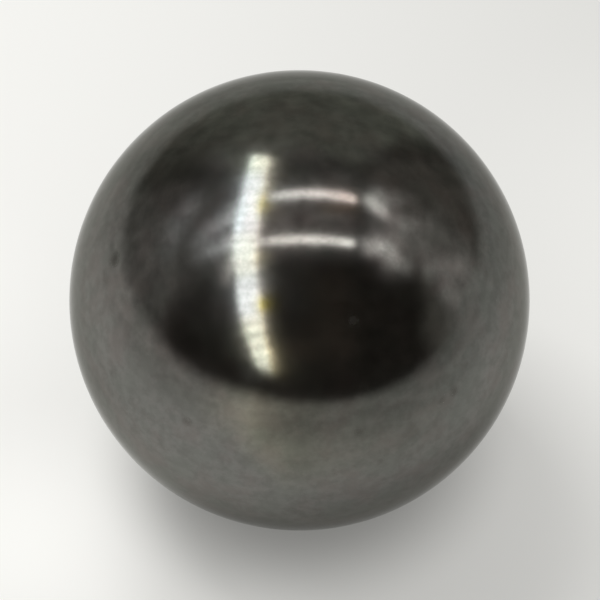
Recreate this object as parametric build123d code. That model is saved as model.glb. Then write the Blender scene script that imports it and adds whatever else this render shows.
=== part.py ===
"""Steel ball: one solid, through-hardened and lapped ball with nothing fixed to it.

Units are millimetres. The origin is the ball's centre, and +Z is up.
"""

import os

from build123d import *

# Driving dimension
BALL_DIAMETER = 10.0


def steel_ball():
    """The whole ball: a half disc on the XZ plane, turned once about Z into a true sphere."""
    radius = BALL_DIAMETER / 2
    bottom, top = (0, -radius), (0, radius)
    outline = RadiusArc(bottom, top, -radius) + Line(top, bottom)
    half_disc = Plane.XZ * make_face(outline)
    return revolve(half_disc, axis=Axis.Z)


def main():
    os.makedirs("parts", exist_ok=True)
    ball = steel_ball()
    ball.label = "steel_ball"
    export_step(ball, f"parts/{ball.label}.step")


main()
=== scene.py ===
"""Steel ball: looks of the one polished piece, on a pale studio floor.

Metres, in the frame of the solid: the origin is the ball's centre and +Z is up.
"""

import math

import bpy
import numpy as np
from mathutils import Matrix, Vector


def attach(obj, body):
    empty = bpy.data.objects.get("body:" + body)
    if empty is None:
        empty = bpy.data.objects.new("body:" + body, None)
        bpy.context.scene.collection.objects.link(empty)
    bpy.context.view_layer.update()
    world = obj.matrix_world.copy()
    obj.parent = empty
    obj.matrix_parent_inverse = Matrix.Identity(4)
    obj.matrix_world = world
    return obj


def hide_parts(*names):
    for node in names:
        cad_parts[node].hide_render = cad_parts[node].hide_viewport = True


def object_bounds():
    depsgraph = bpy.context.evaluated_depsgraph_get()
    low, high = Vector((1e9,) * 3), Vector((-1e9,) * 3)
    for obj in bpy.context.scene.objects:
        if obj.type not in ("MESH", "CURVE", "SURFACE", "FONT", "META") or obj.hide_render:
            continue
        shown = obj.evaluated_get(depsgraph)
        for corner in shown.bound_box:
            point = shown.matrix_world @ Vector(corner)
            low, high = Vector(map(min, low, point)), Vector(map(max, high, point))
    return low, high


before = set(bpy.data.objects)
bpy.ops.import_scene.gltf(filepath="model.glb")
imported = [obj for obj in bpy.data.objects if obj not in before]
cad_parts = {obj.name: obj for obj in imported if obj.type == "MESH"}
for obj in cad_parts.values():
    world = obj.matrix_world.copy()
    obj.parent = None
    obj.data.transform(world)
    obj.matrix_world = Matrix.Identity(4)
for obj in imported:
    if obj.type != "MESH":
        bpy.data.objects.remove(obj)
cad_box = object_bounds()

# Photograph: its square frame, the ball's outline in it, and the height of the view
FRAME_PX = 600
FRAME_MIDDLE_PX = (FRAME_PX - 1) / 2
BALL_CENTRE_PX = (299.0, 299.8)
BALL_RADIUS_PX = 230.2
VIEW_ELEVATION = math.radians(51.6)

# Ball: its radius, the grid on each of its six sides, the digits to which points on two sides agree,
# and how the map lays the sides out
BALL_RADIUS = (cad_box[1].z - cad_box[0].z) / 2
CELLS_A_SIDE = 96
SHARED_DIGITS = 9
MAP_COLUMNS = 3
MAP_ROWS = 2
MAP_MARGIN_SHARE = 0.01
MM_PER_M = 1000.0

# Camera: its lens, the three directions of the view, and its distance from the ball's centre
LENS_MM = 200.0
SENSOR_MM = 36.0
CLIP_NEAR = 0.001
RIGHT = np.array([1.0, 0.0, 0.0])
UP = np.array([0.0, math.sin(VIEW_ELEVATION), math.cos(VIEW_ELEVATION)])
TO_CAMERA = np.array([0.0, -math.cos(VIEW_ELEVATION), math.sin(VIEW_ELEVATION)])
HALF_FRAME = SENSOR_MM / LENS_MM / 2
CAMERA_DISTANCE = BALL_RADIUS / math.sin(math.atan(2 * BALL_RADIUS_PX / FRAME_PX * HALF_FRAME))

# Steel: colours of the lapped metal, its stains and its pits, and its tint at a grazing angle
LAPPED_DARK = (0.159, 0.157, 0.1475, 1.0)
LAPPED_LIGHT = (0.203, 0.2005, 0.1905, 1.0)
COOL_STAIN = (0.176, 0.182, 0.168, 1.0)
WARM_STAIN = (0.199, 0.181, 0.172, 1.0)
PIT_STEEL = (0.06, 0.055, 0.047, 1.0)
GRAZING_TINT = (0.56, 0.56, 0.545, 1.0)

# Steel: lumps of each pattern to a millimetre, the span of it that counts, and how strongly it shows
MOTTLES_PER_MM = 4.0
MOTTLE_SPAN = (0.3, 0.7)
MOTTLE_DEPTH_SHARE = 0.3
STAINS_PER_MM = 1.3
COOL_SPAN = (0.45, 0.70)
WARM_SPAN = (0.55, 0.30)
STAIN_SHARE = 0.55
SMEARS_PER_MM = 0.8
SMEAR_SPAN = (0.35, 0.70)
SMEAR_ROUGHNESSES = (0.12, 0.17)

# Pits: the sparse scatter of fine ones, by cells, and what a pit of full depth does to the steel
PITS_PER_MM = 0.78
PITTED_SPAN = (0.50, 1.0)
PITTED_SHARES = (0.0, 0.5)
PIT_SPAN = (0.02, 0.13)
PIT_DEPTH = 1.0e-6
PIT_ROUGHNESS = 0.40
PIT_STAIN_SHARE = 0.55

# Pits that show in the photograph: pixel, radius in millimetres, and depth share
SEEN_PITS = (
    ((114, 259), 0.26, 0.85),
    ((105, 281), 0.22, 0.30),
    ((187, 421), 0.20, 0.50),
    ((353, 319), 0.30, 0.42),
    ((358, 431), 0.20, 0.42),
    ((380, 460), 0.13, 0.30),
    ((388, 119), 0.16, 0.40),
    ((441, 400), 0.15, 0.40),
    ((454, 391), 0.22, 0.45),
)

# Floor: its size and paint, and the share of it that glows in view as painted light
FLOOR_RADIUS = 0.8
FLOOR_RINGS = 33
FLOOR_COLUMNS = 97
FLOOR_PAINT = (0.795, 0.792, 0.765, 1.0)
FLOOR_PAINTED_GLOW_SHARE = 0.32
PALE_LIGHT = (0.995, 0.99, 0.955, 1.0)

# Glow of the floor, painted light brightest beside the ball and rising again far off: distances over which
# it changes, and the light at their near and far ends
PAINTED_POOL_CENTRE = (-0.014, 0.002, -BALL_RADIUS)
PAINTED_POOL_SPAN = (0.003, 0.032)
PAINTED_POOL_LIGHTS = (1.28, 0.62)
HORIZON_SPAN = (0.030, 0.130)
HORIZON_LIGHTS = (0.0, 0.65)
# Painted shadow where the ball touches the floor: its spot, the distances over which the glow comes back,
# and the share of the glow at their ends
PAINTED_SHADOW_SPOT = (0.0, 0.0, -BALL_RADIUS)
PAINTED_SHADOW_SPAN = (0.0026, 0.0052)
PAINTED_SHADOW_LIGHTS = (0.35, 1.0)
# Patches of painted light and painted shade on the floor's glow: centre, reach and light
PAINTED_LIGHT_AND_SHADE_PATCHES = (
    ((0.011, 0.001, -BALL_RADIUS), 0.013, 0.32),
    ((-0.006, -0.003, -BALL_RADIUS), 0.0045, 0.34),
    ((-0.010, 0.027, -BALL_RADIUS), 0.020, 0.28),
    ((-0.0015, -0.0132, -BALL_RADIUS), 0.009, -0.26),
    ((-0.014, -0.0065, -BALL_RADIUS), 0.010, -0.26),
    ((-0.0097, 0.0039, -BALL_RADIUS), 0.005, 0.12),
    ((-0.001, -0.0055, -BALL_RADIUS), 0.0025, 0.15),
    ((0.0105, 0.0076, -BALL_RADIUS), 0.007, 0.15),
)

# Light from all round, and the soft panel
EVEN_LIGHT = (1.0, 1.0, 1.0, 1.0)
WORLD_STRENGTH = 0.54
BACKDROP_STRENGTH = 0.70
KEY_PLACE = (-0.040, 0.046, 0.105)
KEY_SIZE = 0.06
KEY_WATTS = 0.08

# Dome: its size and grid, and the folds that make its light uneven
DOME_RADIUS = 0.20
DOME_TOP = math.radians(89.9)
DOME_COLUMNS = 361
WALL_ROWS = 122
FOLDS_PER_M = 40.0
FOLDS_SPAN = (0.3, 0.7)
FOLDS_SHARE = 0.28

# Cards on the dome: light, and the turns in degrees, clockwise from the rear, between which each hangs
WALL_LIGHT = (0.040, 0.036, 0.031)
REAR_LIGHT = (0.187, 0.197, 0.168)
REAR_START = 321.0
REAR_END = 35.0
REAR_END_SOFTNESS = 12.0
LEFT_LIGHT = (0.119, 0.118, 0.111)
LEFT_SPAN = (250.0, 308.0)
LEFT_SOFTNESS = 13.0
RIGHT_LIGHT = (0.123, 0.117, 0.105)
RIGHT_START = 40.0
RIGHT_SOFTNESS = 11.0
# Softness of the rear card's first edge, and turn of the right card's last edge, by height in degrees
REAR_START_SOFTNESSES = ((15.0, 50.0), (40.0, 20.0))
RIGHT_ENDS = ((12.0, 117.0), (20.0, 107.0), (30.0, 100.0), (42.0, 110.0))
# Heights in degrees at which the cards end, and below which the rear and left ones are lighter
CARD_TOP = 50.0
CARD_TOP_SOFTNESS = 9.0
CARD_FOOT = 11.0
CARD_FOOT_SOFTNESS = 18.0
CARD_FOOT_GAIN_SHARE = 0.32

# Ceiling: light of its rear part and of a trough, with places across and along as shares of its height,
# and the least rise of a direction that is taken to meet it
CEILING_LIGHT = (0.09, 0.092, 0.086)
CEILING_START = 0.34
CEILING_SOFTNESS = 0.1
TROUGH_LIGHT = (0.070, 0.057, 0.057)
TROUGH_ALONG_SPAN = (-0.12, 0.33)
TROUGH_ALONG_SOFTNESS = 0.1
TROUGH_ACROSS_SPAN = (-0.7, 0.47)
TROUGH_ACROSS_SOFTNESS = 0.08
TROUGH_SHARES = ((-0.1, 1.5), (0.3, 0.8))
LEAST_RISE = 0.02

# Streaks of light on the dome: colour, width in degrees, and stops as the photograph mirrors them.
# A stop is a column and a row of the photograph, and the light there.
WHITE = (1.0, 0.98, 0.96)
COOL_WHITE = (0.93, 0.95, 1.0)
ROSE = (1.0, 0.89, 0.88)
ORANGE = (0.16, 0.09, 0.03)
BROWN = (0.034, 0.024, 0.018)
STREAKS = (
    # Right of the rear tube
    (WHITE, 2.8, ((370, 200.5, 3.0), (374, 204, 3.6), (380, 210, 3.0))),
    (WHITE, 3.6, ((379, 195, 0.80), (392, 200, 0.40), (410, 197, 0.10))),
    (WHITE, 4.0, ((388, 218, 0.35), (402, 223, 0.48), (428, 225, 0.14))),
    (WHITE, 3.5, ((386, 206, 0.14), (394, 210, 0.14))),
    # Right of the front tube
    (WHITE, 3.5, ((368, 247, 1.8), (379, 246, 2.2), (388, 251, 1.5), (393, 260, 1.0), (404, 265, 0.70))),
    (WHITE, 6.5, ((378, 236, 0.41), (400, 238, 0.38), (420, 247, 0.28))),
    (WHITE, 3.2, ((380, 269, 0.12), (388, 273, 0.14))),
    # On the right card
    (
        WHITE,
        4.2,
        ((431, 270, 0.50), (446, 266, 0.46), (446, 290, 0.42), (458, 303, 0.38), (461, 313, 0.36)),
    ),
    (WHITE, 6.0, ((460, 269, 0.38), (473, 286, 0.50))),
    (WHITE, 5.5, ((438, 232, 0.12), (467, 252, 0.14))),
    (WHITE, 7.0, ((430, 240, 0.055), (446, 248, 0.055))),
    (WHITE, 3.6, ((441, 291, 0.10), (449, 320, 0.12))),
    (WHITE, 5.0, ((428, 216, 0.06), (438, 216, 0.06))),
    # Behind the rear tube
    (WHITE, 6.0, ((288, 147, 0.045), (310, 149, 0.045))),
    (WHITE, 5.0, ((364, 154, 0.06), (380, 154, 0.06))),
    (WHITE, 3.6, ((316, 181, 0.07), (344, 181, 0.08))),
    # Past the ends of the bent strip
    (WHITE, 3.0, ((255, 147, 0.16), (270, 148, 0.12))),
    (WHITE, 3.6, ((248, 373, 0.08), (264, 375, 0.06))),
    # Left of the bent strip
    (COOL_WHITE, 4.0, ((240, 208, 1.55), (226, 218, 1.4), (212, 229, 0.85), (196, 241, 0.35))),
    (COOL_WHITE, 3.1, ((240, 240, 2.8), (224, 244, 1.8), (196, 258, 0.18))),
    (WHITE, 3.0, ((231, 262, 1.2), (225, 279, 0.8))),
    (COOL_WHITE, 6.0, ((190, 206, 0.31), (178, 226, 0.37), (170, 246, 0.18))),
    (WHITE, 12.0, ((150, 245, 0.10), (160, 275, 0.10))),
    (COOL_WHITE, 7.0, ((220, 160, 0.09), (226, 174, 0.08))),
    (WHITE, 9.0, ((196, 312, 0.03), (226, 308, 0.04))),
    # Between the tubes and in front of them
    (ROSE, 3.8, ((274, 208, 0.36), (280, 214, 0.38), (286, 220, 0.28))),
    (WHITE, 4.5, ((314, 216, 0.22), (338, 217, 0.22))),
    (WHITE, 5.0, ((270, 254, 0.16), (290, 252, 0.07), (350, 251, 0.02))),
    (ORANGE, 3.0, ((328, 207, 1.0), (350, 206, 1.0))),
    (BROWN, 9.0, ((330, 290, 1.0), (335, 345, 1.0))),
    (BROWN, 5.0, ((296, 349, 1.4), (308, 349, 1.4))),
    (COOL_WHITE, 6.0, ((288, 292, 0.03), (292, 306, 0.03))),
)

# Cove that joins the dome to the floor: its grid, and where it brightens and fades, in degrees of height
COVE_INNER = 0.006
COVE_LIFT = 0.0001
COVE_ROWS = 47
COVE_GAIN_TOP = -10.0
COVE_GAIN_SOFTNESS = 10.0
COVE_START_SOFTNESS = 18.0
# Light of the cove, by turn in degrees
COVE_LIGHTS = (
    (0, 0.65),
    (15, 0.67),
    (60, 0.455),
    (80, 0.49),
    (105, 0.415),
    (150, 0.465),
    (180, 0.48),
    (202, 0.97),
    (212, 0.74),
    (225, 0.58),
    (270, 0.67),
    (300, 0.59),
    (340, 0.70),
    (360, 0.65),
)
# Tint of the cove, by turn
COVE_TINTS = (
    (0, (0.98, 1.0, 0.95)),
    (40, (0.98, 1.0, 0.99)),
    (65, (0.98, 1.0, 0.95)),
    (120, (0.98, 1.0, 0.94)),
    (165, (1.0, 0.99, 0.90)),
    (198, (1.0, 0.985, 0.81)),
    (225, (1.0, 0.97, 0.92)),
    (300, (1.0, 0.98, 0.94)),
    (330, (0.985, 1.0, 0.94)),
    (360, (0.98, 1.0, 0.95)),
)
# Height in degrees at which the cove gives way to the walls, by turn
COVE_EDGES = (
    (0, 0.4),
    (45, -3.2),
    (75, -1.2),
    (90, 2.7),
    (105, -1.1),
    (112, -2.4),
    (135, -2.9),
    (165, 0.0),
    (185, 0.9),
    (200, 2.3),
    (215, 1.6),
    (225, 0.9),
    (270, 2.0),
    (330, -1.3),
    (360, 0.4),
)
# Degrees of height over which it does so, by turn
COVE_SOFTNESSES = (
    (0, 13.0),
    (45, 8.0),
    (120, 8.0),
    (165, 6.0),
    (185, 7.0),
    (200, 10.5),
    (215, 10.0),
    (250, 13.0),
    (300, 9.0),
    (345, 13.0),
    (360, 13.0),
)
# Height in degrees from which the cove hides the floor, by turn
COVE_STARTS = ((0, -11.0), (100, -11.0), (125, -26.0), (185, -26.0), (205, -12.0), (360, -11.0))
# Share by which the cove brightens towards the ball, by turn
COVE_GAIN_SHARES = (
    (0, 0.12),
    (100, 0.15),
    (125, 0.30),
    (150, 0.20),
    (180, 0.20),
    (205, 0.0),
    (300, 0.0),
    (330, 0.12),
    (360, 0.12),
)

# Bent strip: its middle line as the photograph mirrors it, from foot to top, and its grid.
# Places along it run from 0 at the foot to 1 at the top, and places across it are degrees, left to right.
LAMP_RADIUS = 0.15
STRIP_PIXELS = ((267.5, 370.7), (254.9, 329.7), (245.9, 257.7), (250.7, 203.7), (262.0, 154.7))
STRIP_OVERRUN_SHARE = 0.04
STRIP_ROWS = 331
STRIP_SPREAD = 14.0
STRIP_COLUMNS = 57
# Half widths, from foot to top, and the softness of the edges
STRIP_LEFT_WIDTHS = (
    (0.0, 4.0),
    (0.11, 4.6),
    (0.17, 5.5),
    (0.31, 5.8),
    (0.44, 5.4),
    (0.56, 6.2),
    (0.7, 6.4),
    (0.78, 4.7),
    (0.86, 4.8),
    (0.93, 4.3),
    (1.0, 4.1),
)
STRIP_RIGHT_WIDTHS = (
    (0.0, 3.0),
    (0.07, 4.2),
    (0.15, 4.4),
    (0.3, 5.8),
    (0.42, 5.7),
    (0.475, 5.2),
    (0.53, 5.5),
    (0.7, 5.5),
    (0.75, 4.8),
    (0.81, 5.1),
    (0.864, 5.0),
    (0.93, 3.8),
    (1.0, 3.9),
)
STRIP_LEFT_SOFTNESS = 2.2
STRIP_RIGHT_SOFTNESS = 2.4
# Ends, with the share by which each slants for every degree across
FOOT_PLACE = -0.001
FOOT_SOFTNESS = 0.045
FOOT_SLANT_SHARE = 0.0055
TOP_PLACE = 0.994
TOP_SOFTNESS = 0.03
TOP_SLANT_SHARE = 0.002
# Full light of the strip, and the share of it from foot to top
STRIP_LIGHT = 5.1
STRIP_SHARES = (
    (0.0, 0.62),
    (0.04, 0.74),
    (0.07, 1.07),
    (0.09, 1.05),
    (0.125, 0.86),
    (0.16, 0.90),
    (0.27, 0.90),
    (0.34, 1.05),
    (0.43, 0.80),
    (0.53, 1.10),
    (0.63, 0.88),
    (0.75, 1.07),
    (0.84, 1.05),
    (0.92, 0.89),
    (1.0, 1.25),
)
# Beads of light along the strip: their count, how far they stand out, and how uneven they are
BEADS = 21
BEAD_SHARE = 0.24
BEAD_SWING_SHARE = 0.08
BEAD_SWINGS = 2
BEAD_SHIFT = 1.4
BEAD_SHIFTS = 3
# Thin glow all round the strip, a haze at its right, and the fringe along its right edge
GLOW_SHARE = 0.07
GLOW_REACH = 8.0
HAZE_SHARE = 0.05
HAZE_PLACE = 0.52
HAZE_RUN = 0.22
HAZE_REACH = 7.0
FRINGE_START = -1.3
FRINGE_SOFTNESS = 2.0
FRINGE_SHARE = 0.10
FRINGE_AMBER_SHARE = 0.06
FRINGE_REACH = 3.4
# Amber patches of the fringe: place along the strip, share of amber, and reach
AMBER_PATCHES = (
    (0.0, 0.5, 0.25),
    (0.30, 0.9, 0.038),
    (0.52, 0.35, 0.05),
    (0.775, 0.7, 0.045),
    (0.87, 0.25, 0.2),
)
# Colours of the strip's light, and where they show
CREAM_LIGHT = (0.98, 1.01, 0.86)
COOL_LIGHT = (0.96, 1.0, 1.04)
COOL_LIGHT_SPAN = (0.25, 0.92)
COOL_LIGHT_SOFTNESS = 0.08
COOL_GAP_SPAN = (0.44, 0.64)
COOL_GAP_SOFTNESS = 0.06
COOL_GAP_SHARE = 0.55
WARM_LIGHT = (1.0, 0.99, 0.72)
WARM_PLACE = 2.5
WARM_SOFTNESS = 6.0
FRINGE_LIGHT = (1.0, 0.95, 0.93)
AMBER_LIGHT = (1.0, 0.78, 0.0)
LEFT_EDGE_LIGHT = (0.17, 0.27, 0.34)
LEFT_EDGE_PLACE = -4.6
LEFT_EDGE_REACH = 1.8
LEFT_EDGE_START = 0.58
LEFT_EDGE_SOFTNESS = 0.16

# Straight tubes on the ceiling: name, first and last pixel as the photograph mirrors them, width,
# light at both ends, and the places of the joints as shares of the length
TUBES = (
    (
        "rear_tube",
        ((261, 198.7), (357.8, 199.4)),
        0.0112,
        ((5.2, 5.2, 5.15), (6.0, 5.0, 4.65)),
        (0.41, 0.66),
    ),
    (
        "front_tube",
        ((250.5, 243.2), (356.4, 243.5)),
        0.0103,
        ((5.3, 5.1, 4.9), (5.3, 5.15, 5.0)),
        (0.15, 0.46, 0.69, 0.79),
    ),
)
# Height and grid of the tubes, and shares of the half width and length at which their light falls off
TUBE_HEIGHT = 0.11
TUBE_ROWS = 65
TUBE_COLUMNS = 17
TUBE_SIDE_SHARES = (-0.72, 0.72)
TUBE_SIDE_SOFTNESS = 0.5
TUBE_END_SHARES = (0.08, 0.97)
TUBE_END_SOFTNESS = 0.07
TUBE_DIM_SHARE = 0.26
TUBE_DIM_END = 0.24
TUBE_DIM_SOFTNESS = 0.18
JOINT_DIM_SHARE = 0.24
JOINT_REACH = 0.05

# Numbers of the colour mixer's sockets: share, two colours and result
MIX_SHARE = 0
MIX_FIRST = 6
MIX_SECOND = 7
MIX_RESULT = 2


def unit(vectors):
    """Vectors divided by their lengths."""
    return vectors / np.linalg.norm(vectors, axis=-1, keepdims=True)


def soft_step(value, edge, softness):
    """Smooth rise from 0 to 1 over a span of the given softness round an edge."""
    share = np.clip((value - edge) / softness + 0.5, 0.0, 1.0)
    return share * share * (3.0 - 2.0 * share)


def between(value, low, high, softness):
    """Smooth window that is 1 from low to high: a rise times a fall."""
    return soft_step(value, low, softness) * (1.0 - soft_step(value, high, softness))


def swell(value, middle, reach):
    """Bell that is 1 in the middle: the exponential of less the square of the distance over the reach."""
    return np.exp(-(((value - middle) / reach) ** 2))


def read_off(stops, value):
    """Value read off a list of stops, in straight lines from one to the next."""
    return np.interp(value, *zip(*stops))


def blended(first, second, share):
    """Colours a share of the way from the first to the second."""
    start = np.asarray(first)
    return start + (np.asarray(second) - start) * share[..., None]


def mirror_ray(pixels):
    """Spots on the ball that pixels show, and the ways that their lines of sight leave by the mirror law.

    A line of sight meets the ball where its distance from the centre is the radius. It leaves along itself
    less twice its part along the outward normal.
    """
    offset = (np.array(pixels) - BALL_CENTRE_PX) / (FRAME_PX / 2) * HALF_FRAME
    sight = unit(offset[..., :1] * RIGHT - offset[..., 1:] * UP - TO_CAMERA)
    eye = TO_CAMERA * CAMERA_DISTANCE
    nearing = -(sight @ eye)
    reach = nearing - np.sqrt(nearing**2 - CAMERA_DISTANCE**2 + BALL_RADIUS**2)
    spot = eye + reach[..., None] * sight
    normal = spot / BALL_RADIUS
    return spot, sight - 2.0 * np.sum(sight * normal, axis=-1, keepdims=True) * normal


def mirrored(pixels, radius):
    """Points at a distance from the ball's centre that the ball mirrors at some pixels."""
    spot, way = mirror_ray(pixels)
    along = np.sum(spot * way, axis=-1, keepdims=True)
    return spot + way * (np.sqrt(along**2 + radius**2 - BALL_RADIUS**2) - along)


def mirrored_overhead(pixels, height):
    """Points at a height over the ball's centre that the ball mirrors at some pixels."""
    spot, way = mirror_ray(pixels)
    return spot + way * (height - spot[..., 2:]) / way[..., 2:]


def grid_quads(rows, columns):
    """Corner numbers of the faces between the points of a grid that is stored row by row."""
    corner = np.arange(rows * columns).reshape(rows, columns)
    around = [corner[:-1, :-1], corner[1:, :-1], corner[1:, 1:], corner[:-1, 1:]]
    return np.stack(around, axis=-1).reshape(-1, 4)


def mesh_piece(name, points, quads, material):
    """Object at the origin from points and four-cornered faces, shaded smooth."""
    mesh = bpy.data.meshes.new(name)
    mesh.from_pydata(points.tolist(), [], quads.tolist())
    mesh.polygons.foreach_set("use_smooth", np.ones(len(quads), dtype=bool))
    mesh.materials.append(material)
    piece = bpy.data.objects.new(name, mesh)
    bpy.context.scene.collection.objects.link(piece)
    return piece


def node(tree, kind, inputs=None, **settings):
    """New shader node with its settings, and its sockets set to values or linked to other sockets."""
    made = tree.nodes.new(kind)
    for name, value in settings.items():
        setattr(made, name, value)
    for name, value in (inputs or {}).items():
        if isinstance(value, bpy.types.NodeSocket):
            tree.links.new(value, made.inputs[name])
        else:
            made.inputs[name].default_value = value
    return made


def new_material(name):
    """Empty node material and its output node."""
    material = bpy.data.materials.new(name)
    material.use_nodes = True
    material.node_tree.nodes.clear()
    return material, node(material.node_tree, "ShaderNodeOutputMaterial")


def noise(tree, where, scale, detail, roughness):
    """Cloud pattern between 0 and 1, with so many lumps to a unit of length."""
    made = node(
        tree,
        "ShaderNodeTexNoise",
        {"Vector": where, "Scale": scale, "Detail": detail, "Roughness": roughness},
    )
    return made.outputs["Fac"]


def ranged(tree, value, span, results):
    """Value eased from the ends of a span to two results, and held at them beyond it."""
    made = node(
        tree,
        "ShaderNodeMapRange",
        {
            "Value": value,
            "From Min": span[0],
            "From Max": span[1],
            "To Min": results[0],
            "To Max": results[1],
        },
        interpolation_type="SMOOTHSTEP",
    )
    return made.outputs["Result"]


def maths(tree, operation, first, second):
    """Sum, product or other operation of two numbers."""
    return node(tree, "ShaderNodeMath", {0: first, 1: second}, operation=operation).outputs["Value"]


def distance(tree, place, spot):
    """Distance of a place from a spot."""
    made = node(tree, "ShaderNodeVectorMath", {0: place, 1: spot}, operation="DISTANCE")
    return made.outputs["Value"]


def tinted(tree, share, first, second):
    """Colour between two colours."""
    inputs = {MIX_SHARE: share, MIX_FIRST: first, MIX_SECOND: second}
    return node(tree, "ShaderNodeMix", inputs, data_type="RGBA").outputs[MIX_RESULT]


def mixed(tree, share, first, second):
    """Shader between two shaders."""
    return node(tree, "ShaderNodeMixShader", {"Fac": share, 1: first, 2: second}).outputs["Shader"]


def seen_or_mirrored(tree):
    """One for what the camera sees, by itself or through metal or glass, and zero for other light."""
    ray = node(tree, "ShaderNodeLightPath").outputs
    seen = maths(tree, "ADD", ray["Is Camera Ray"], ray["Is Glossy Ray"])
    return maths(tree, "ADD", seen, ray["Is Transmission Ray"])


def pit_field(tree, where):
    """Depth of the small pits, from 0 to 1: those that show in the photograph, and a scatter all round.

    The scatter is one round dip in each cell of a cell pattern, deep in some cells and absent in others.
    """
    cells = node(tree, "ShaderNodeTexVoronoi", {"Vector": where, "Scale": PITS_PER_MM})
    share = ranged(tree, cells.outputs["Color"], PITTED_SPAN, PITTED_SHARES)
    shape = ranged(tree, cells.outputs["Distance"], PIT_SPAN, (1.0, 0.0))
    depth = maths(tree, "MULTIPLY", share, shape)
    for pixel, radius, deepest in SEEN_PITS:
        gap = distance(tree, where, mirror_ray(pixel)[0] * MM_PER_M)
        depth = maths(tree, "MAXIMUM", depth, ranged(tree, gap, (0.0, radius), (deepest, 0.0)))
    return depth


def polished_steel():
    """Lapped and polished steel: faint mottle, stain clouds, fine pits and a thin film of smears."""
    material, output = new_material("polished_steel")
    tree = material.node_tree
    place = node(tree, "ShaderNodeTexCoord").outputs["Object"]
    where = node(tree, "ShaderNodeMapping", {"Vector": place, "Scale": (MM_PER_M,) * 3}).outputs["Vector"]

    mottle = noise(tree, where, MOTTLES_PER_MM, detail=3.0, roughness=0.65)
    stain = noise(tree, where, STAINS_PER_MM, detail=3.0, roughness=0.55)
    smear = noise(tree, where, SMEARS_PER_MM, detail=4.0, roughness=0.6)
    pit = pit_field(tree, where)

    lapped = tinted(tree, ranged(tree, mottle, MOTTLE_SPAN, (0.0, 1.0)), LAPPED_DARK, LAPPED_LIGHT)
    cool = tinted(tree, ranged(tree, stain, COOL_SPAN, (0.0, STAIN_SHARE)), lapped, COOL_STAIN)
    warm = tinted(tree, ranged(tree, stain, WARM_SPAN, (0.0, STAIN_SHARE)), cool, WARM_STAIN)
    steel = tinted(tree, maths(tree, "MULTIPLY", pit, PIT_STAIN_SHARE), warm, PIT_STEEL)

    film = ranged(tree, smear, SMEAR_SPAN, SMEAR_ROUGHNESSES)
    roughness = maths(tree, "ADD", film, maths(tree, "MULTIPLY", pit, PIT_ROUGHNESS))

    height = maths(tree, "SUBTRACT", maths(tree, "MULTIPLY", mottle, MOTTLE_DEPTH_SHARE), pit)
    bump = node(tree, "ShaderNodeBump", {"Strength": 1.0, "Distance": PIT_DEPTH, "Height": height})

    shader = node(
        tree,
        "ShaderNodeBsdfPrincipled",
        {
            "Base Color": steel,
            "Metallic": 1.0,
            "Roughness": roughness,
            "Specular Tint": GRAZING_TINT,
            "Normal": bump.outputs["Normal"],
        },
    )
    tree.links.new(shader.outputs["BSDF"], output.inputs["Surface"])
    return material


def polished_ball():
    """Ball surface: the six sides of a cube, gridded in equal angles and pushed out to the radius.

    On a side with outward axis n and edges a and b, the point at angles p and q lies along
    n + a tan p + b tan q. Sides meet in shared points, and the map lays them out three by two.
    """
    steps = np.linspace(-math.pi / 4, math.pi / 4, CELLS_A_SIDE + 1)
    p, q = np.meshgrid(np.tan(steps), np.tan(steps), indexing="ij")
    axes = np.eye(3)
    normals = np.concatenate([axes, -axes])
    first = np.concatenate([np.roll(axes, 1, axis=1), np.roll(axes, -1, axis=1)])
    second = np.cross(normals, first)
    sides = (
        normals[:, None, None, :]
        + first[:, None, None, :] * p[None, :, :, None]
        + second[:, None, None, :] * q[None, :, :, None]
    )
    loose = unit(sides).reshape(-1, 3)
    points, shared = np.unique(np.round(loose, SHARED_DIGITS), axis=0, return_inverse=True)
    shared = shared.reshape(-1)
    row = CELLS_A_SIDE + 1
    starts = np.arange(len(normals))[:, None, None] * row * row
    corners = (grid_quads(row, row)[None] + starts).reshape(-1, 4)
    ball = mesh_piece("polished_ball", unit(points) * BALL_RADIUS, shared[corners], polished_steel())

    side, spot = np.divmod(corners.reshape(-1), row * row)
    cell_share = (1.0 - 2.0 * MAP_MARGIN_SHARE) / CELLS_A_SIDE
    inside = MAP_MARGIN_SHARE + cell_share * np.stack(np.divmod(spot, row), axis=-1)
    tile = np.stack([side % MAP_COLUMNS, side // MAP_COLUMNS], axis=-1)
    places = (tile + inside) / np.array([MAP_COLUMNS, MAP_ROWS])
    layer = ball.data.uv_layers.new(name="OFBake")
    layer.data.foreach_set("uv", places.astype(np.float32).reshape(-1))
    return ball


def glowing(name, unevenness=0.0):
    """Light of the piece's own tone, a little uneven if asked, as a hung backdrop is."""
    material, output = new_material(name)
    tree = material.node_tree
    tone = node(tree, "ShaderNodeAttribute", attribute_name="tone").outputs
    light = node(tree, "ShaderNodeEmission", {"Color": tone["Color"], "Strength": 1.0})
    if unevenness:
        place = node(tree, "ShaderNodeTexCoord").outputs["Object"]
        folds = noise(tree, place, FOLDS_PER_M, detail=4.0, roughness=0.6)
        uneven = ranged(tree, folds, FOLDS_SPAN, (1.0 - unevenness, 1.0 + unevenness))
        tree.links.new(uneven, light.inputs["Strength"])
    clear = node(tree, "ShaderNodeBsdfTransparent")
    surface = mixed(tree, tone["Alpha"], clear.outputs["BSDF"], light.outputs["Emission"])
    tree.links.new(surface, output.inputs["Surface"])
    material.cycles.emission_sampling = "NONE"
    return material


def mirrored_piece(name, points, tone, cover, material):
    """Set piece that shows in polished surfaces alone, so it neither fills the view nor shades the floor.

    It is a grid of points. Each carries its own tone, and how much of what lies behind it is covered.
    """
    piece = mesh_piece(name, points.reshape(-1, 3), grid_quads(*cover.shape), material)
    piece.visible_camera = False
    piece.visible_diffuse = False
    piece.visible_transmission = False
    piece.visible_volume_scatter = False
    piece.visible_shadow = False
    colours = np.concatenate([tone, cover[..., None]], axis=-1)
    attribute = piece.data.attributes.new("tone", "FLOAT_COLOR", "POINT")
    attribute.data.foreach_set("color", colours.astype(np.float32).reshape(-1))


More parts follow.
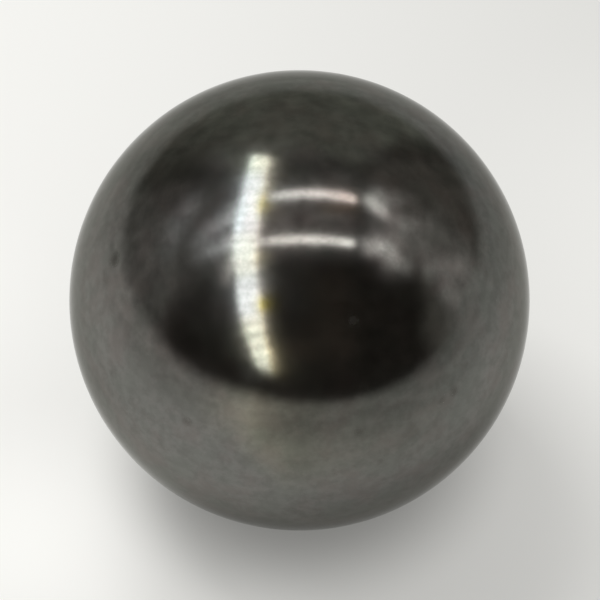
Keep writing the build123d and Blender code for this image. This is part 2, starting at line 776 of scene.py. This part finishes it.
def dome_grid():
    """Points of the dome and cove, with the turn and height in degrees of each, seen from the ball's centre.

    Rows run out along the floor, each further by the same ratio, and then up the dome by equal angles.
    """
    floor_height = COVE_LIFT - BALL_RADIUS
    reaches = np.geomspace(COVE_INNER, DOME_RADIUS, COVE_ROWS + 1)[:-1]
    rises = np.linspace(math.asin(floor_height / DOME_RADIUS), DOME_TOP, WALL_ROWS)
    spreads = np.concatenate([reaches, DOME_RADIUS * np.cos(rises)])
    levels = np.concatenate([np.full(COVE_ROWS, floor_height), DOME_RADIUS * np.sin(rises)])
    heights = np.concatenate([np.arctan(floor_height / reaches), rises])
    turns = np.radians(np.linspace(0.0, 360.0, DOME_COLUMNS))
    turn, spread = np.meshgrid(turns, spreads, indexing="ij")
    level = np.broadcast_to(levels, turn.shape)
    height = np.broadcast_to(heights, turn.shape)
    points = np.stack([np.sin(turn) * spread, np.cos(turn) * spread, level], axis=-1)
    return points, np.degrees(turn), np.degrees(height)


def card_tone(turn, height, directions):
    """Tone of the dark walls and the cards on them: a sum of lights, each times soft windows.

    The windows of the cards are in turn and height. Those of the ceiling are in the places at which
    directions meet a flat ceiling, across and along over up.
    """
    overhead = np.maximum(directions[..., 2], LEAST_RISE)
    across = directions[..., 0] / overhead
    along = directions[..., 1] / overhead
    above = soft_step(height, CARD_TOP, CARD_TOP_SOFTNESS)
    below = 1.0 - above
    gain = 1.0 + CARD_FOOT_GAIN_SHARE * (1.0 - soft_step(height, CARD_FOOT, CARD_FOOT_SOFTNESS))
    rear = 1.0 - soft_step(turn, REAR_END, REAR_END_SOFTNESS)
    rear = rear + soft_step(turn, REAR_START, read_off(REAR_START_SOFTNESSES, height))
    left = between(turn, *LEFT_SPAN, LEFT_SOFTNESS)
    right = between(turn, RIGHT_START, read_off(RIGHT_ENDS, height), RIGHT_SOFTNESS)
    trough = between(along, *TROUGH_ALONG_SPAN, TROUGH_ALONG_SOFTNESS)
    trough = trough * between(across, *TROUGH_ACROSS_SPAN, TROUGH_ACROSS_SOFTNESS)
    lights = (
        (REAR_LIGHT, rear * below * gain),
        (LEFT_LIGHT, left * below * gain),
        (RIGHT_LIGHT, right * below),
        (CEILING_LIGHT, above * soft_step(along, CEILING_START, CEILING_SOFTNESS)),
        (TROUGH_LIGHT, trough * read_off(TROUGH_SHARES, along)),
    )
    tone = np.array(WALL_LIGHT)
    for light, share in lights:
        tone = tone + np.array(light) * share[..., None]
    return tone


def streak_glow(directions, width, stops):
    """Glow of a soft streak along mirrored stops: a bell in the angle from the nearest point of its path."""
    columns, rows, lights = np.array(stops).T
    places = unit(mirrored(np.stack([columns, rows], axis=-1), DOME_RADIUS))
    glow = np.zeros(directions.shape[:-1])
    for start, end, first, last in zip(places[:-1], places[1:], lights[:-1], lights[1:]):
        run = end - start
        share = np.clip((directions - start) @ run / (run @ run), 0.0, 1.0)
        nearest = start + share[..., None] * run
        gap = np.degrees(np.linalg.norm(directions - nearest, axis=-1))
        glow = np.maximum(glow, swell(gap, 0.0, width) * (first + (last - first) * share))
    return glow


def cove_tone(turn, height):
    """Tone of the pale cove: light times tint, both by turn, and a little more towards the ball."""
    turns, tints = zip(*COVE_TINTS)
    tint = np.stack([np.interp(turn, turns, channel) for channel in zip(*tints)], axis=-1)
    low = 1.0 - soft_step(height, COVE_GAIN_TOP, COVE_GAIN_SOFTNESS)
    gain = 1.0 + read_off(COVE_GAIN_SHARES, turn) * low
    return tint * (read_off(COVE_LIGHTS, turn) * gain)[..., None]


def studio_dome():
    """Dark dome with grey cards and streaks of light on it, which a pale cove joins to the floor."""
    points, turn, height = dome_grid()
    directions = unit(points)
    tone = card_tone(turn, height, directions)
    for colour, width, stops in STREAKS:
        tone = tone + np.array(colour) * streak_glow(directions, width, stops)[..., None]
    cove_share = 1.0 - soft_step(height, read_off(COVE_EDGES, turn), read_off(COVE_SOFTNESSES, turn))
    tone = blended(tone, cove_tone(turn, height), cove_share)
    cover = soft_step(height, read_off(COVE_STARTS, turn), COVE_START_SOFTNESS)
    mirrored_piece("studio_dome", points, tone, cover, glowing("dome_light", FOLDS_SHARE))


def strip_band(along, across):
    """Points of the bent strip: its middle line, spread to both sides by angles seen from the ball.

    The line is mirrored from the photograph, where it is the polynomial through a few pixels.
    """
    columns, rows = np.array(STRIP_PIXELS).T
    row = rows[0] + along[:, 0] * (rows[-1] - rows[0])
    middle = rows.mean()
    column = np.polyval(np.polyfit(rows - middle, columns, len(rows) - 1), row - middle)
    line = mirrored(np.stack([column, row], axis=-1), LAMP_RADIUS)
    side = unit(np.cross(np.gradient(line, axis=0), line))
    spread = np.tan(np.radians(across))[..., None] * side[:, None, :] * LAMP_RADIUS
    return unit(line[:, None, :] + spread) * LAMP_RADIUS


def strip_tone(along, across, fringe, amber):
    """Tone of the bent strip: cream at its ends, cool between them, and beaded along its whole length.

    It turns warm towards the amber patches, has a bluish left edge near the top, and a pale or amber fringe
    along its right edge. The beads are a cosine, and slow sines make their strength and places uneven.
    """
    cool = between(along, *COOL_LIGHT_SPAN, COOL_LIGHT_SOFTNESS)
    cool = cool - COOL_GAP_SHARE * between(along, *COOL_GAP_SPAN, COOL_GAP_SOFTNESS)
    left_edge = swell(across, LEFT_EDGE_PLACE, LEFT_EDGE_REACH)
    left_edge = left_edge * soft_step(along, LEFT_EDGE_START, LEFT_EDGE_SOFTNESS)
    tone = blended(CREAM_LIGHT, COOL_LIGHT, cool)
    tone = blended(tone, WARM_LIGHT, soft_step(across, WARM_PLACE, WARM_SOFTNESS) * amber)
    tone = blended(tone, blended(FRINGE_LIGHT, AMBER_LIGHT, amber), fringe)
    tone = tone + np.array(LEFT_EDGE_LIGHT) * left_edge[..., None]

    beat = 2.0 * math.pi * along
    bead_share = BEAD_SHARE + BEAD_SWING_SHARE * np.sin(BEAD_SWINGS * beat)
    beads = 1.0 + bead_share * np.cos(BEADS * beat + BEAD_SHIFT * np.sin(BEAD_SHIFTS * beat))
    return tone * (beads * read_off(STRIP_SHARES, along) * STRIP_LIGHT)[..., None]


def strip_lamp():
    """Bright strip bent round the ball: full between its soft edges, with a glow and a fringe past them."""
    along, across = np.meshgrid(
        np.linspace(-STRIP_OVERRUN_SHARE, 1.0 + STRIP_OVERRUN_SHARE, STRIP_ROWS),
        np.linspace(-STRIP_SPREAD, STRIP_SPREAD, STRIP_COLUMNS),
        indexing="ij",
    )
    left_width = read_off(STRIP_LEFT_WIDTHS, along)
    right_width = read_off(STRIP_RIGHT_WIDTHS, along)
    past_edge = across - right_width
    core = soft_step(across, -left_width, STRIP_LEFT_SOFTNESS)
    core = core * (1.0 - soft_step(across, right_width, STRIP_RIGHT_SOFTNESS))
    glow = GLOW_SHARE * swell(across, 0.0, GLOW_REACH)
    haze = HAZE_SHARE * swell(along, HAZE_PLACE, HAZE_RUN) * swell(past_edge, 0.0, HAZE_REACH)
    amber = sum(share * swell(along, place, reach) for place, share, reach in AMBER_PATCHES)
    fringe = soft_step(past_edge, FRINGE_START, FRINGE_SOFTNESS)
    fringe_share = FRINGE_SHARE + FRINGE_AMBER_SHARE * amber
    fringe_glow = fringe * (fringe_share * swell(past_edge, 0.0, FRINGE_REACH) + haze)
    foot = soft_step(along + FOOT_SLANT_SHARE * across, FOOT_PLACE, FOOT_SOFTNESS)
    top = 1.0 - soft_step(along + TOP_SLANT_SHARE * across, TOP_PLACE, TOP_SOFTNESS)
    cover = np.maximum(np.maximum(core, glow), fringe_glow) * foot * top
    tone = strip_tone(along, across, fringe, amber)
    mirrored_piece("arc_lamp", strip_band(along, across), tone, cover, glowing("arc_light"))


def tube_lamp(name, pixels, width, lights, joints):
    """Slim straight tube between two mirrored places on the ceiling: a flat band with soft edges.

    Its light goes from the first to the last by the square of the way along, dimmer at the start and joints.
    """
    start, end = mirrored_overhead(pixels, TUBE_HEIGHT)
    side = np.cross(unit(end - start), [0.0, 0.0, 1.0])
    along, across = np.meshgrid(
        np.linspace(0.0, 1.0, TUBE_ROWS), np.linspace(-1.0, 1.0, TUBE_COLUMNS), indexing="ij"
    )
    points = start + along[..., None] * (end - start) + across[..., None] * side * width / 2
    cover = between(across, *TUBE_SIDE_SHARES, TUBE_SIDE_SOFTNESS)
    cover = cover * between(along, *TUBE_END_SHARES, TUBE_END_SOFTNESS)
    dimming = TUBE_DIM_SHARE * (1.0 - soft_step(along, TUBE_DIM_END, TUBE_DIM_SOFTNESS))
    dimming = dimming + JOINT_DIM_SHARE * sum(swell(along, joint, JOINT_REACH) for joint in joints)
    tone = blended(*lights, along**2) * (1.0 - dimming)[..., None]
    mirrored_piece(name, points, tone, cover, glowing(name))


def pale_floor():
    """Floor under the ball: a flat disc, ring by ring. Part of it glows in view, so its shadow stays soft.

    The glow is painted light, brightest beside the ball, fading outwards and rising again to meet the
    backdrop.
    Painted light and painted shade are added to it in places, and a painted shadow dims it where the ball
    touches. Rings lie at the squares of equal steps, so they are closer near the middle.
    """
    material, output = new_material("pale_floor")
    tree = material.node_tree
    place = node(tree, "ShaderNodeTexCoord").outputs["Object"]
    # Painted light: brightest beside the ball, fading outwards and rising again far off
    from_painted_pool = distance(tree, place, PAINTED_POOL_CENTRE)
    painted_glow = ranged(tree, from_painted_pool, PAINTED_POOL_SPAN, PAINTED_POOL_LIGHTS)
    painted_glow = maths(tree, "ADD", painted_glow, ranged(tree, from_painted_pool, HORIZON_SPAN, HORIZON_LIGHTS))
    # Patches of painted light and painted shade
    for centre, reach, light in PAINTED_LIGHT_AND_SHADE_PATCHES:
        painted_patch = ranged(tree, distance(tree, place, centre), (0.0, reach), (light, 0.0))
        painted_glow = maths(tree, "ADD", painted_glow, painted_patch)
    # Painted shadow that dims the glow where the ball touches
    painted_contact_shadow = ranged(tree, distance(tree, place, PAINTED_SHADOW_SPOT), PAINTED_SHADOW_SPAN, PAINTED_SHADOW_LIGHTS)
    strength = maths(tree, "MULTIPLY", maths(tree, "MULTIPLY", painted_glow, painted_contact_shadow), seen_or_mirrored(tree))
    paint = node(tree, "ShaderNodeBsdfDiffuse", {"Color": FLOOR_PAINT})
    glow = node(tree, "ShaderNodeEmission", {"Color": PALE_LIGHT, "Strength": strength})
    surface = mixed(tree, FLOOR_PAINTED_GLOW_SHARE, paint.outputs["BSDF"], glow.outputs["Emission"])
    tree.links.new(surface, output.inputs["Surface"])
    material.cycles.emission_sampling = "NONE"

    rings = np.linspace(0.0, 1.0, FLOOR_RINGS) ** 2
    ring, turn = np.meshgrid(rings, np.linspace(0.0, 2.0 * math.pi, FLOOR_COLUMNS), indexing="ij")
    spread = ring * FLOOR_RADIUS
    level = np.full_like(ring, -BALL_RADIUS)
    points = np.stack([spread * np.cos(turn), spread * np.sin(turn), level], axis=-1)
    mesh_piece("pale_floor", points.reshape(-1, 3), grid_quads(*ring.shape), material)


def studio_light():
    """Even light from all round, a pale backdrop in view, and one soft panel from the upper left."""
    world = bpy.data.worlds.new("studio")
    bpy.context.scene.world = world
    world.use_nodes = True
    tree = world.node_tree
    tree.nodes.clear()
    even = node(tree, "ShaderNodeBackground", {"Color": EVEN_LIGHT, "Strength": WORLD_STRENGTH})
    pale = node(tree, "ShaderNodeBackground", {"Color": PALE_LIGHT, "Strength": BACKDROP_STRENGTH})
    surface = mixed(tree, seen_or_mirrored(tree), even.outputs["Background"], pale.outputs["Background"])
    node(tree, "ShaderNodeOutputWorld", {"Surface": surface})

    light = bpy.data.lights.new("key_panel", "AREA")
    light.shape = "SQUARE"
    light.size = KEY_SIZE
    light.energy = KEY_WATTS
    panel = bpy.data.objects.new("key_panel", light)
    bpy.context.scene.collection.objects.link(panel)
    panel.location = KEY_PLACE
    panel.rotation_mode = "QUATERNION"
    panel.rotation_quaternion = panel.location.to_track_quat("Z", "Y")
    panel.visible_glossy = False
    panel.visible_camera = False


def photo_camera():
    """Camera at the photograph's height, as far off as makes the ball's outline as large as it is there."""
    data = bpy.data.cameras.new("photo_camera")
    data.lens = LENS_MM
    data.sensor_width = SENSOR_MM
    data.clip_start = CLIP_NEAR
    data.shift_x = (FRAME_MIDDLE_PX - BALL_CENTRE_PX[0]) / FRAME_PX
    data.shift_y = (BALL_CENTRE_PX[1] - FRAME_MIDDLE_PX) / FRAME_PX
    camera = bpy.data.objects.new("photo_camera", data)
    camera.location = TO_CAMERA * CAMERA_DISTANCE
    camera.rotation_euler = (math.pi / 2 - VIEW_ELEVATION, 0.0, 0.0)
    bpy.context.scene.collection.objects.link(camera)
    bpy.context.scene.camera = camera


bpy.context.scene.view_settings.view_transform = "Standard"
photo_camera()
studio_light()
pale_floor()
studio_dome()
strip_lamp()
for tube in TUBES:
    tube_lamp(*tube)

ball = polished_ball()
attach(ball, "root")
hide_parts("steel_ball")
